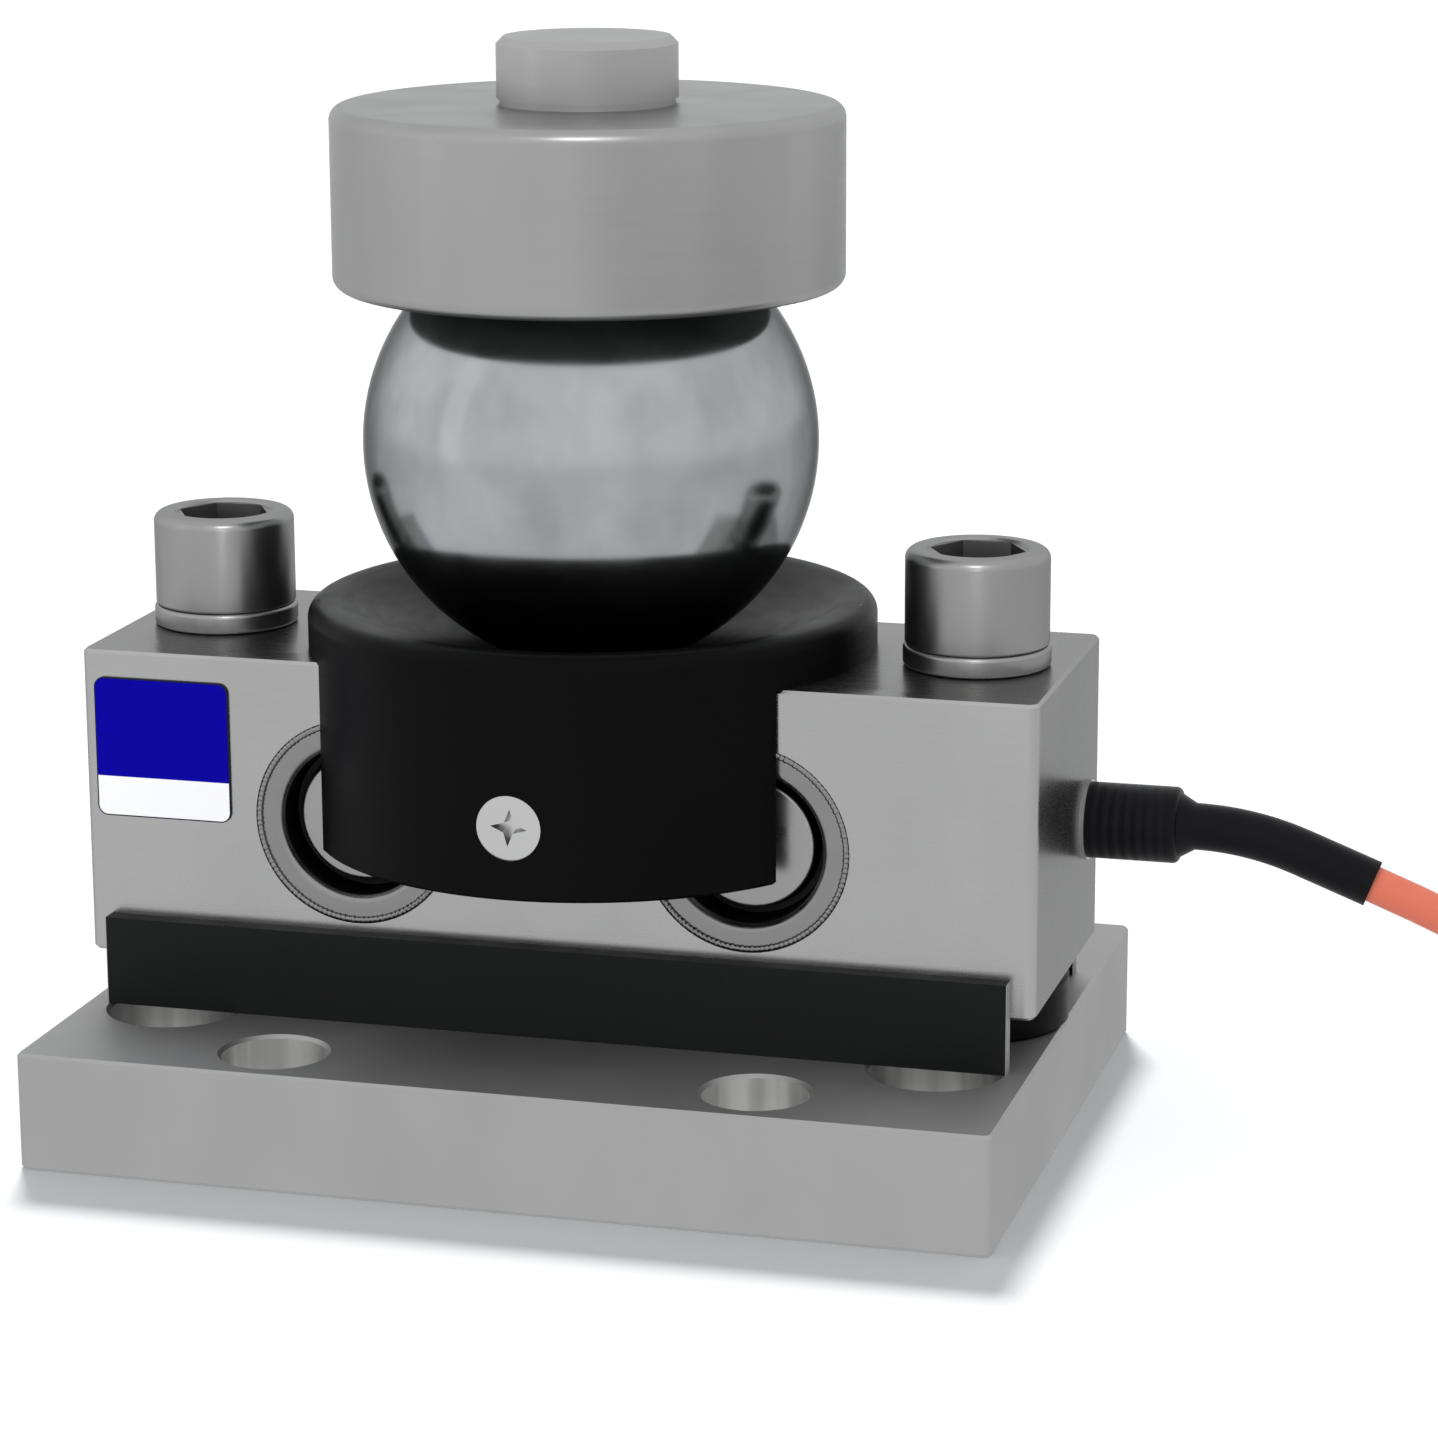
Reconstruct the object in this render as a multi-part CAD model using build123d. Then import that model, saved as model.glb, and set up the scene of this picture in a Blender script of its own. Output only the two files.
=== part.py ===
from build123d import *
import math
import os

# Weighing load cell: a double-ended shear beam on a base plate, loaded through a saddle, a ball and a cup.
# Millimetres. +X runs along the beam towards the cable, +Y to the back, +Z up.
# The origin is the centre of the base plate's underside.

# Ball, which sets the scale of the rest
ball_diameter = 76.2
ball_seat_depth = 3.5
ball_seat_clearance = 0.4

# Base plate, as long as the two screws and their end distances need
plate_end_distance = 15.8
plate_width = 120.0
plate_thickness = 20.0
plate_corner_radius = 1.5
anchor_hole_diameter = 17.5
anchor_spacing_x = 82.0
anchor_spacing_y = 96.0
sunk_hole_diameter = 13.5
sunk_head_diameter = 22.0
sunk_head_depth = 12.5
sunk_spacing_y = 58.4

# Shear beam, as long as the saddle, the screws beside it and their end distances need
screw_end_distance = 15.8
saddle_screw_gap = 5.9
beam_width = 54.0
beam_height = 52.5
beam_corner_radius = 2.0
edge_chamfer = 0.5
rim_chamfer = 0.6

# Screws that hold the beam down, their spring washers and collars
screw_thread_diameter = 16.0
screw_length = 80.0
screw_head_diameter = 24.0
screw_head_height = 16.0
screw_head_round = 1.7
screw_seat_round = 0.5
hexagon_across_flats = 14.0
hexagon_depth = 8.0
hexagon_mouth = 0.4
screw_tip_chamfer = 1.5
screw_hole_clearance = 0.75
washer_thickness = 3.6
washer_overhang = 0.3
washer_edge_round = 0.8
washer_bore_clearance = 0.3
washer_split = 1.8
washer_split_slant = 20.0
washer_split_turn = 65.0
collar_diameter = 32.0
collar_height = 8.5

# Gauge pockets in the beam's front and back, and what they hold
pocket_end_distance = 48.3
pocket_drop = 0.7
pocket_diameter = 27.4
pocket_step_diameter = 35.0
pocket_step_depth = 0.8
web_thickness = 12.0
wire_bore_diameter = 5.0
wire_bore_offset = 8.5
seal_sheet = 0.5
seal_disc_diameter = 21.6
seal_disc_depth = 3.6
seal_groove_depth = 6.8
seal_wall_clearance = 0.3
seal_draft = 0.3
seal_lip_radius = 1.3
seal_groove_radius = 0.4
seal_disc_radius = 0.7
weld_bead_radius = 0.5
weld_edge_clearance = 0.1
gauge_length = 9.0
gauge_width = 6.0
gauge_thickness = 0.15
gauge_turn = 45.0
board_length = 12.0
board_width = 4.5
board_thickness = 1.2
board_drop = 8.8

# Loading saddle and its screws
saddle_diameter = 96.0
saddle_rim_height = 8.0
saddle_cheek_drop = 32.3
saddle_slot_clearance = 0.8
saddle_rim_round = 2.6
saddle_land = 2.2
saddle_edge_chamfer = 0.5
ball_way_clearance = 1.2
saddle_screw_drop = 20.2
saddle_screw_diameter = 6.0
saddle_screw_head = 10.8
saddle_screw_sink = 0.35
cross_length = 6.2
cross_waist = 2.3
cross_arms = 4
cross_depth = 1.8
cross_taper = 8.0
cross_turn = -4.0

# Upper cup and its locating pin
cup_diameter = 85.0
cup_height = 30.0
cup_edge_radius = 2.2
cup_socket_depth = 12.0
cup_mouth_chamfer = 1.2
pin_diameter = 30.0
pin_height = 11.0
pin_seat_depth = 10.0
pin_chamfer = 1.2
pin_groove_width = 1.0
pin_groove_depth = 0.5

# Guard strips along the beam's lower edges
strip_end_gap = 4.0
strip_height = 15.2
strip_thickness = 3.0

# Nameplate
label_size = 24.0
label_thickness = 0.4
label_corner_radius = 1.8
label_end_gap = 2.4
label_top_gap = 4.5

# Cable exit, beside the right-hand screw
exit_y = 15.5
exit_z = 51.4
ferrule_diameter = 9.0
ferrule_seat_depth = 12.0
ferrule_flange_diameter = 13.6
ferrule_flange_thickness = 0.8
ferrule_stub_length = 9.0
ferrule_bore_diameter = 6.4
boot_diameter = 12.9
boot_length = 15.4
boot_end_round = 1.0
boot_shoulder_length = 2.6
sleeve_diameter = 7.9
sleeve_bend_radius = 50.0
sleeve_bend_angle = 21.0
sleeve_straight_length = 12.8

# Cable: the droop from the boot's end to the floor, then the coil of the length put away
cable_diameter = 6.2
turn_spacing = 6.4
coil_layers = 5
coil_rows = 5
coil_middle_radius = 38.0
coil_start_angle = 90.0
coil_last_arc = 75.0
coil_gap = 0.5
tie_count = 3
tie_width = 12.0
tie_thickness = 0.8
tie_first_angle = 30.0
lead_count = 5
lead_diameter = 1.4
lead_spacing = 1.2
lead_length = 28.0

# Heights and half sizes that follow from the sizes above
washer_diameter = screw_head_diameter + 2 * washer_overhang
screw_spacing = saddle_diameter + 2 * saddle_screw_gap + washer_diameter
beam_length = screw_spacing + 2 * screw_end_distance
plate_length = screw_spacing + 2 * plate_end_distance
pocket_offset_x = beam_length / 2 - pocket_end_distance
strip_length = beam_length - 2 * strip_end_gap
beam_bottom = plate_thickness + collar_height
beam_top = beam_bottom + beam_height
beam_middle = beam_bottom + beam_height / 2
beam_face = beam_width / 2
ball_radius = ball_diameter / 2
ball_height = beam_top - ball_seat_depth + ball_radius
cup_bottom = ball_height + ball_radius - cup_socket_depth
cup_top = cup_bottom + cup_height
screw_seat = beam_top + washer_thickness
screw_hole_diameter = screw_thread_diameter + 2 * screw_hole_clearance
saddle_top = beam_top + saddle_rim_height
saddle_bottom = beam_top - saddle_cheek_drop
saddle_slot_half = beam_face + saddle_slot_clearance
web_face = web_thickness / 2
pocket_height = beam_middle - pocket_drop
pocket_depth = beam_face - web_face
end_face = beam_length / 2
ENDS = (("left", -1), ("right", 1))
SIDES = (("front", -1), ("back", 1))

# The boot's sleeve bends down from the level exit and runs straight on to its end
sleeve_start = end_face + ferrule_flange_thickness + boot_length + boot_shoulder_length
bend = math.radians(sleeve_bend_angle)
sleeve_bend_end = (sleeve_start + sleeve_bend_radius * math.sin(bend),
                   exit_z - sleeve_bend_radius * (1 - math.cos(bend)))
sleeve_end = (sleeve_bend_end[0] + sleeve_straight_length * math.cos(bend), exit_y,
              sleeve_bend_end[1] - sleeve_straight_length * math.sin(bend))

# Points of the cable's route, chosen by hand
cable_route = [
    sleeve_end,
    (143.1, 15.5, 38.72),
    (154.7, 17.7, 31.9),
    (164.3, 22.3, 22.9),
    (173.5, 28.1, 13.7),
    (184.7, 33.5, 6.8),
    (197.3, 36.7, 4.0),
    (210.4, 36.7, 4.0),
]

# The coil stands on its ties, and its last turn ends on the ledge inside the top row
coil_inner = coil_middle_radius - coil_layers / 2 * turn_spacing
coil_outer = coil_middle_radius + coil_layers / 2 * turn_spacing
coil_top = tie_thickness + coil_rows * turn_spacing
ledge_height = coil_top - turn_spacing
ledge_radius = coil_inner + turn_spacing
first_turn_radius = coil_outer - turn_spacing / 2
lead_in_length = math.sqrt(coil_outer ** 2 - (first_turn_radius - cable_diameter / 2 - coil_gap) ** 2)
coil_x = cable_route[-1][0] + lead_in_length
coil_y = cable_route[-1][1] - first_turn_radius


def turned(points, plane=Plane.XZ):
    """A solid of revolution about Z from its half section, given as radius and height."""
    with BuildSketch(plane) as section:
        with BuildLine():
            Polyline(*points, close=True)
        make_face()
    return revolve(section.sketch, Axis.Z)


def upright(diameter, bottom, top, x=0.0, y=0.0):
    """A cylinder standing along Z between two heights."""
    return Pos(x, y, (bottom + top) / 2) * Cylinder(diameter / 2, top - bottom)


def lying(diameter, start, end, y, z):
    """A cylinder along X between two stations."""
    return Pos((start + end) / 2, y, z) * Rot(0, 90, 0) * Cylinder(diameter / 2, end - start)


def facing(part, x, side, z):
    """Turns a part made about Z, with +Z pointing out, so that it stands on the beam's front or back face."""
    return Pos(x, side * beam_face, z) * Rot(-90 * side, 0, 0) * part


def make_base_plate():
    plate = Pos(0, 0, plate_thickness / 2) * Box(plate_length, plate_width, plate_thickness)
    plate = fillet(plate.edges().filter_by(Axis.Z), plate_corner_radius)
    plate = chamfer(plate.faces().sort_by(Axis.Z)[-1].edges(), edge_chamfer)
    plate = chamfer(plate.faces().sort_by(Axis.Z)[0].edges(), edge_chamfer)
    for hole in GridLocations(anchor_spacing_x, anchor_spacing_y, 2, 2):
        plate -= hole * upright(anchor_hole_diameter, 0, plate_thickness)
        plate -= hole * rim_cone(anchor_hole_diameter, plate_thickness)
    for hole in GridLocations(screw_spacing, sunk_spacing_y, 2, 2):
        plate -= hole * upright(sunk_hole_diameter, 0, plate_thickness)
        plate -= hole * upright(sunk_head_diameter, plate_thickness - sunk_head_depth, plate_thickness)
        plate -= hole * rim_cone(sunk_head_diameter, plate_thickness)
    for _, end in ENDS:
        plate -= upright(screw_thread_diameter, 0, plate_thickness, end * screw_spacing / 2)
    return plate


def rim_cone(diameter, top):
    """The chamfer at a hole's upper rim."""
    cone = Cone(diameter / 2, diameter / 2 + rim_chamfer, rim_chamfer)
    return Pos(0, 0, top - rim_chamfer / 2) * cone


def make_shear_beam():
    beam = Pos(0, 0, beam_middle) * Box(beam_length, beam_width, beam_height)
    beam = fillet(beam.edges().filter_by(Axis.Z), beam_corner_radius)
    beam = chamfer(beam.faces().sort_by(Axis.Z)[-1].edges(), edge_chamfer)
    beam = chamfer(beam.faces().sort_by(Axis.Z)[0].edges(), edge_chamfer)
    for _, end in ENDS:
        beam -= upright(screw_hole_diameter, beam_bottom, beam_top, end * screw_spacing / 2)
    seat_radius = ball_radius + ball_seat_clearance
    beam -= Pos(0, 0, beam_top - ball_seat_depth + seat_radius) * Sphere(seat_radius)
    pocket = Pos(0, 0, -pocket_depth / 2) * Cylinder(pocket_diameter / 2, pocket_depth)
    pocket += Pos(0, 0, -pocket_step_depth / 2) * Cylinder(pocket_step_diameter / 2, pocket_step_depth)
    rim = seal_lip_radius - seal_sheet - seal_wall_clearance
    pocket += Pos(0, 0, -pocket_step_depth - rim / 2) * Cone(
        pocket_diameter / 2, pocket_diameter / 2 + rim, rim)
    for _, end in ENDS:
        for _, side in SIDES:
            beam -= facing(pocket, end * pocket_offset_x, side, pocket_height)
        through_web = Rot(90, 0, 0) * Cylinder(wire_bore_diameter / 2, web_thickness)
        beam -= Pos(end * (pocket_offset_x + wire_bore_offset), 0, pocket_height) * through_web
    beam -= lying(wire_bore_diameter, -pocket_offset_x, pocket_offset_x, exit_y, pocket_height)
    beam -= lying(wire_bore_diameter, pocket_offset_x, end_face, exit_y, exit_z)
    beam -= lying(ferrule_diameter, end_face - ferrule_seat_depth, end_face, exit_y, exit_z)
    return beam


def seal_line(sheet):
    """One side of the seal cup's sheet, from the flange's edge to the axis; the far side is one sheet lower."""
    wall = pocket_diameter / 2 - seal_wall_clearance - seal_sheet + sheet
    disc = seal_disc_diameter / 2 - sheet
    top = -pocket_step_depth + seal_sheet - sheet
    return [(pocket_step_diameter / 2 - weld_edge_clearance, top), (wall, top),
            (wall - seal_draft, -seal_groove_depth - sheet), (disc + seal_draft, -seal_groove_depth - sheet),
            (disc, -seal_disc_depth - sheet), (0, -seal_disc_depth - sheet)]


def make_seal_cup():
    """A drawn sheet cup, its face up: a welded flange, a rolled lip, a deep round groove and a raised disc."""
    shown = seal_line(0)
    hidden = seal_line(seal_sheet)
    with BuildSketch(Plane.XZ) as section:
        with BuildLine():
            FilletPolyline(*shown, radius=[seal_lip_radius, seal_groove_radius, seal_groove_radius,
                                           seal_disc_radius])
            FilletPolyline(*hidden, radius=[seal_lip_radius - seal_sheet, seal_groove_radius + seal_sheet,
                                            seal_groove_radius + seal_sheet, seal_disc_radius - seal_sheet])
            Line(shown[0], hidden[0])
            Line(shown[-1], hidden[-1])
        make_face()
        with Locations((shown[0][0] - weld_bead_radius, shown[0][1])):
            Circle(weld_bead_radius)
    return revolve(section.sketch, Axis.Z)


def make_strain_gauge():
    """A foil gauge laid aslant on the web, as shear is measured, its face up."""
    return Rot(0, 0, gauge_turn) * Pos(0, 0, -pocket_depth + gauge_thickness / 2) * Box(
        gauge_length, gauge_width, gauge_thickness)


def make_terminal_board():
    board = Pos(0, board_drop, -pocket_depth + board_thickness / 2) * Box(
        board_length, board_width, board_thickness)
    return facing(board, pocket_offset_x, 1, pocket_height)


def make_spacer_collar(end):
    collar = upright(collar_diameter, plate_thickness, beam_bottom)
    collar = chamfer(collar.edges().filter_by(GeomType.CIRCLE), rim_chamfer)
    collar -= upright(screw_hole_diameter, plate_thickness, beam_bottom)
    return Pos(end * screw_spacing / 2, 0, 0) * collar


def make_mounting_screw(end):
    head = upright(screw_head_diameter, screw_seat, screw_seat + screw_head_height)
    rims = head.edges().filter_by(GeomType.CIRCLE).sort_by(Axis.Z)
    head = fillet(rims[-1], screw_head_round)
    head = fillet(head.edges().filter_by(GeomType.CIRCLE).sort_by(Axis.Z)[0], screw_seat_round)
    head_top = screw_seat + screw_head_height
    hexagon = Plane.XY.offset(head_top - hexagon_depth) * RegularPolygon(
        hexagon_across_flats / 2, 6, major_radius=False)
    head -= extrude(hexagon, hexagon_depth)
    mouth = hexagon_across_flats / math.sqrt(3)
    head -= Pos(0, 0, head_top - hexagon_mouth / 2) * Cone(mouth, mouth + hexagon_mouth, hexagon_mouth)
    shank = upright(screw_thread_diameter, screw_seat - screw_length, screw_seat)
    shank = chamfer(shank.edges().filter_by(GeomType.CIRCLE).sort_by(Axis.Z)[0], screw_tip_chamfer)
    return Pos(end * screw_spacing / 2, 0, 0) * (head + shank)


def make_spring_washer(end):
    """A split ring a little wider than the head, its outer edges rounded."""
    ring = upright(washer_diameter, beam_top, screw_seat)
    ring = fillet(ring.edges().filter_by(GeomType.CIRCLE), washer_edge_round)
    ring -= upright(screw_thread_diameter + 2 * washer_bore_clearance, beam_top, screw_seat)
    split = Pos(screw_head_diameter / 2, 0, beam_top + washer_thickness / 2) * Rot(washer_split_slant, 0, 0) * Box(
        screw_head_diameter, washer_split, 2 * washer_thickness)
    return Pos(end * screw_spacing / 2, 0, 0) * Rot(0, 0, washer_split_turn) * (ring - split)


def make_loading_saddle():
    """A round block slotted over the beam, with a dish on top that lets the ball through to its seat."""
    radius = saddle_diameter / 2
    way_radius = math.sqrt(ball_radius ** 2 - (ball_height - beam_top) ** 2) + ball_way_clearance
    dish_radius = radius - saddle_rim_round - saddle_land
    saddle = upright(saddle_diameter, saddle_bottom, saddle_top)
    saddle = fillet(saddle.edges().filter_by(GeomType.CIRCLE).sort_by(Axis.Z)[-1], saddle_rim_round)
    saddle = chamfer(saddle.edges().filter_by(GeomType.CIRCLE).sort_by(Axis.Z)[0], saddle_edge_chamfer)
    saddle -= turned([(0, beam_top), (way_radius, beam_top), (dish_radius, saddle_top), (0, saddle_top)])
    slot_height = beam_top - saddle_bottom
    saddle -= Pos(0, 0, saddle_bottom + slot_height / 2) * Box(saddle_diameter, 2 * saddle_slot_half, slot_height)
    sink = Cylinder(saddle_screw_head / 2, 2 * saddle_screw_sink, align=(Align.CENTER, Align.CENTER, Align.MIN))
    for _, side in SIDES:
        saddle -= place_saddle_screw(saddle_screw_body(), side)
        saddle -= place_saddle_screw(sink, side)
    return saddle


def saddle_screw_body():
    """The countersunk screw's outside about Z, its flat face up at zero, its tip against the beam."""
    length = saddle_diameter / 2 - saddle_screw_sink - beam_face
    sink = (saddle_screw_head - saddle_screw_diameter) / 2
    shank = saddle_screw_diameter / 2
    return turned([(0, 0), (saddle_screw_head / 2, 0), (shank, -sink), (shank, -length), (0, -length)])


def place_saddle_screw(part, side):
    height = beam_top - saddle_screw_drop
    return Pos(0, side * (saddle_diameter / 2 - saddle_screw_sink), height) * Rot(-90 * side, 0, 0) * part


def make_saddle_screw(side):
    """A screw with a four-pointed driving recess."""
    star = []
    for corner in range(2 * cross_arms):
        reach = (cross_waist if corner % 2 else cross_length) / 2
        turn = math.pi * corner / cross_arms
        star.append((reach * math.cos(turn), reach * math.sin(turn)))
    recess = extrude(Rot(0, 0, cross_turn) * Polygon(*star, align=None), -cross_depth, taper=cross_taper)
    return place_saddle_screw(saddle_screw_body() - recess, side)


def make_steel_ball():
    return Pos(0, 0, ball_height) * Sphere(ball_radius)


def make_upper_cup():
    cup = upright(cup_diameter, cup_bottom, cup_top)
    cup = fillet(cup.edges().filter_by(GeomType.CIRCLE), cup_edge_radius)
    socket_radius = ball_radius + ball_seat_clearance
    cup -= Pos(0, 0, cup_bottom + cup_socket_depth - socket_radius) * Sphere(socket_radius)
    mouth = cup.edges().filter_by(GeomType.CIRCLE).group_by(Axis.Z)[0].sort_by(SortBy.RADIUS)[0]
    cup = chamfer(mouth, cup_mouth_chamfer)
    return cup - upright(pin_diameter, cup_top - pin_seat_depth, cup_top)


def make_locating_pin():
    radius = pin_diameter / 2
    groove = radius - pin_groove_depth
    top = cup_top + pin_height
    return turned([(0, cup_top - pin_seat_depth), (radius, cup_top - pin_seat_depth), (radius, cup_top),
                   (groove, cup_top), (groove, cup_top + pin_groove_width), (radius, cup_top + pin_groove_width),
                   (radius, top - pin_chamfer), (radius - pin_chamfer, top), (0, top)])


def make_guard_strip(side):
    return Pos(0, side * (beam_face + strip_thickness / 2), plate_thickness + strip_height / 2) * Box(
        strip_length, strip_thickness, strip_height)


def make_nameplate():
    plate = extrude(RectangleRounded(label_size, label_size, label_corner_radius), label_thickness)
    x = -end_face + label_end_gap + label_size / 2
    return facing(plate, x, -1, beam_top - label_top_gap - label_size / 2)


def along_exit(part):
    """Lays a part made about Z, with its zero at the beam's end face, along the cable exit."""
    return Pos(end_face, exit_y, exit_z) * Rot(0, 90, 0) * part


def make_gland_ferrule():
    tube = ferrule_diameter / 2
    flange = ferrule_flange_diameter / 2
    tip = ferrule_flange_thickness + ferrule_stub_length
    ferrule = turned([(0, -ferrule_seat_depth), (tube, -ferrule_seat_depth), (tube, 0), (flange, 0),
                      (flange, ferrule_flange_thickness), (tube, ferrule_flange_thickness), (tube, tip), (0, tip)])
    length = ferrule_seat_depth + tip
    bore = Pos(0, 0, length / 2 - ferrule_seat_depth) * Cylinder(ferrule_bore_diameter / 2, length)
    return along_exit(ferrule - bore)


def make_cable_boot():
    """The moulded boot over the ferrule's stub, drawn down to a sleeve that bends towards the floor."""
    base = ferrule_flange_thickness
    body = Pos(0, 0, base + boot_length / 2) * Cylinder(boot_diameter / 2, boot_length)
    body = fillet(body.edges().filter_by(GeomType.CIRCLE).sort_by(Axis.Z)[-1], boot_end_round)
    shoulder_radius = boot_diameter / 2 - boot_end_round
    body += Pos(0, 0, base + boot_length + boot_shoulder_length / 2) * Cone(
        shoulder_radius, sleeve_diameter / 2, boot_shoulder_length)
    body -= Pos(0, 0, base + ferrule_stub_length / 2) * Cylinder(ferrule_diameter / 2, ferrule_stub_length)
    with BuildLine(Plane.XZ.offset(-exit_y)) as path:
        arc = CenterArc((sleeve_start, exit_z - sleeve_bend_radius), sleeve_bend_radius, 90, -sleeve_bend_angle)
        Line(arc @ 1, (sleeve_end[0], sleeve_end[2]))
    start = Plane(origin=(sleeve_start, exit_y, exit_z), x_dir=(0, 1, 0), z_dir=(1, 0, 0))
    sleeve = sweep(start * Circle(sleeve_diameter / 2), path=path.line)
    return along_exit(body) + sleeve


def route_radii(route):
    """Each corner's arc takes 0.45 of its shorter run."""
    radii = []
    for before, corner, after in zip(route, route[1:], route[2:]):
        arriving = Vector(corner) - Vector(before)
        leaving = Vector(after) - Vector(corner)
        half_turn = math.radians(arriving.get_angle(leaving)) / 2
        radii.append(0.45 * min(arriving.length, leaving.length) / math.tan(half_turn))
    return radii


def make_signal_cable():
    radii = route_radii(cable_route)
    path = FilletPolyline(*cable_route, radius=radii)
    start = Plane(origin=path @ 0, z_dir=path % 0)
    cable = sweep(start * Circle(cable_diameter / 2), path=path)
    section = math.pi * cable_diameter ** 2 / 4
    print("cable radii", [round(r) for r in radii], "length", round(path.length, 1),
          "volume over section times length", round(cable.volume / (section * path.length), 4))
    return cable


def make_cable_coil():
    """The coil's outer shape: full rows, a top row less its inner turn, that turn's last part and the lead-in.

    It is wound clockwise, seen from above."""
    coil = turned([(coil_inner, tie_thickness), (coil_outer, tie_thickness), (coil_outer, coil_top),
                   (ledge_radius, coil_top), (ledge_radius, ledge_height), (coil_inner, ledge_height)])
    with BuildSketch(Plane.XZ) as last_turn:
        with BuildLine():
            Polyline((coil_inner, ledge_height), (ledge_radius, ledge_height), (ledge_radius, coil_top),
                     (coil_inner, coil_top), close=True)
        make_face()
    coil += Rot(0, 0, coil_start_angle - coil_last_arc) * revolve(last_turn.sketch, Axis.Z, coil_last_arc)
    end = cable_route[-1]
    return Pos(coil_x, coil_y, 0) * coil + lying(cable_diameter, end[0], coil_x, end[1], end[2])


def make_cable_leads():
    """Bare leads side by side on the coil's ledge, from where the last turn ends."""
    middle = coil_inner + turn_spacing / 2
    lead_arc = math.degrees(lead_length / middle)
    leads = None
    for number in range(lead_count):
        radius = middle + (number - (lead_count - 1) / 2) * lead_spacing
        section = Pos(radius, 0, ledge_height + lead_diameter / 2) * Rot(90, 0, 0) * Circle(lead_diameter / 2)
        lead = revolve(section, Axis.Z, lead_arc)
        leads = lead if leads is None else leads + lead
    return Pos(coil_x, coil_y, 0) * Rot(0, 0, coil_start_angle - coil_last_arc - lead_arc) * leads


def make_coil_tie(number):
    """A strap around the coil's turns."""
    height = coil_top + tie_thickness
    strap = Pos(coil_middle_radius, 0, height / 2) * Box(
        coil_outer - coil_inner + 2 * tie_thickness, tie_width, height)
    hold = turned([(coil_inner, tie_thickness), (coil_outer, tie_thickness),
                   (coil_outer, coil_top), (coil_inner, coil_top)])
    angle = tie_first_angle + number * 360 / tie_count
    return Pos(coil_x, coil_y, 0) * Rot(0, 0, angle) * (strap - hold)


def make_parts():
    parts = {
        "base_plate": make_base_plate(),
        "shear_beam": make_shear_beam(),
        "loading_saddle": make_loading_saddle(),
        "steel_ball": make_steel_ball(),
        "upper_cup": make_upper_cup(),
        "locating_pin": make_locating_pin(),
        "terminal_board": make_terminal_board(),
        "nameplate": make_nameplate(),
        "gland_ferrule": make_gland_ferrule(),
        "cable_boot": make_cable_boot(),
        "signal_cable": make_signal_cable(),
        "cable_coil": make_cable_coil(),
        "cable_leads": make_cable_leads(),
    }
    for number in range(tie_count):
        parts[f"coil_tie_{number + 1}"] = make_coil_tie(number)
    for end_name, end in ENDS:
        parts[f"spacer_collar_{end_name}"] = make_spacer_collar(end)
        parts[f"mounting_screw_{end_name}"] = make_mounting_screw(end)
        parts[f"spring_washer_{end_name}"] = make_spring_washer(end)
    for side_name, side in SIDES:
        parts[f"saddle_screw_{side_name}"] = make_saddle_screw(side)
        parts[f"guard_strip_{side_name}"] = make_guard_strip(side)
        for end_name, end in ENDS:
            x = end * pocket_offset_x
            parts[f"seal_cup_{side_name}_{end_name}"] = facing(make_seal_cup(), x, side, pocket_height)
            parts[f"strain_gauge_{side_name}_{end_name}"] = facing(make_strain_gauge(), x, side, pocket_height)
    return parts


os.makedirs("parts", exist_ok=True)
for node, solid in make_parts().items():
    export_step(solid, os.path.join("parts", node + ".step"))
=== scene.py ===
import math

import bmesh
import bpy
from mathutils import Matrix, Vector


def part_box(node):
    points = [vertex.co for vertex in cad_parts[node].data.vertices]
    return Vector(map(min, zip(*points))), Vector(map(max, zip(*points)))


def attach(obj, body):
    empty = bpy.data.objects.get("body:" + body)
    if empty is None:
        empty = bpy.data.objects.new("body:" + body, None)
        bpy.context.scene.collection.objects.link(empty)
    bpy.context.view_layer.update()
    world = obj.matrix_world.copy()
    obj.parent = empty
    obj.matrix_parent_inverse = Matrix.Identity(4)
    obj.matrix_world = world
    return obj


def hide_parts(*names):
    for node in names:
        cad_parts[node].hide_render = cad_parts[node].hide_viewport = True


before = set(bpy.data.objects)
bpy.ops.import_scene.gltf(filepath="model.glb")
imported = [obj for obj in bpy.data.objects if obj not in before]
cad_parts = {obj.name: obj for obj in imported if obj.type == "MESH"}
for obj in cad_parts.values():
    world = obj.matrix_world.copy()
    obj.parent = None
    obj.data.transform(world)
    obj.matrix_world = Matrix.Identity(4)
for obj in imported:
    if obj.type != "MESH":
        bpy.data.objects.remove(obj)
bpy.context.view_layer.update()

MM = 0.001
FULL_TURN = 2 * math.pi


# The photograph's viewpoint: place in metres, angles in radians, lens and sensor in millimetres

CAMERA_PLACE = Vector((0.215258, -0.701206, 0.24759))
CAMERA_YAW = 0.269
CAMERA_PITCH = 0.241
CAMERA_ROLL = -0.004
CAMERA_LENS = 111.31
CAMERA_SENSOR = 36.0


def make_camera():
    data = bpy.data.cameras.new("camera")
    data.sensor_width = CAMERA_SENSOR
    data.lens = CAMERA_LENS
    data.clip_start = 0.01
    data.clip_end = 50.0
    camera = bpy.data.objects.new("camera", data)
    bpy.context.collection.objects.link(camera)
    ahead = Vector((-math.sin(CAMERA_YAW) * math.cos(CAMERA_PITCH),
                    math.cos(CAMERA_YAW) * math.cos(CAMERA_PITCH),
                    -math.sin(CAMERA_PITCH)))
    level = Vector((math.cos(CAMERA_YAW), math.sin(CAMERA_YAW), 0.0))
    over = level.cross(ahead)
    right = math.cos(CAMERA_ROLL) * level + math.sin(CAMERA_ROLL) * over
    up = -math.sin(CAMERA_ROLL) * level + math.cos(CAMERA_ROLL) * over
    turn = Matrix((right, up, -ahead)).transposed()
    camera.matrix_world = Matrix.Translation(CAMERA_PLACE) @ turn.to_4x4()
    bpy.context.scene.camera = camera


# Shader maths

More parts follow.
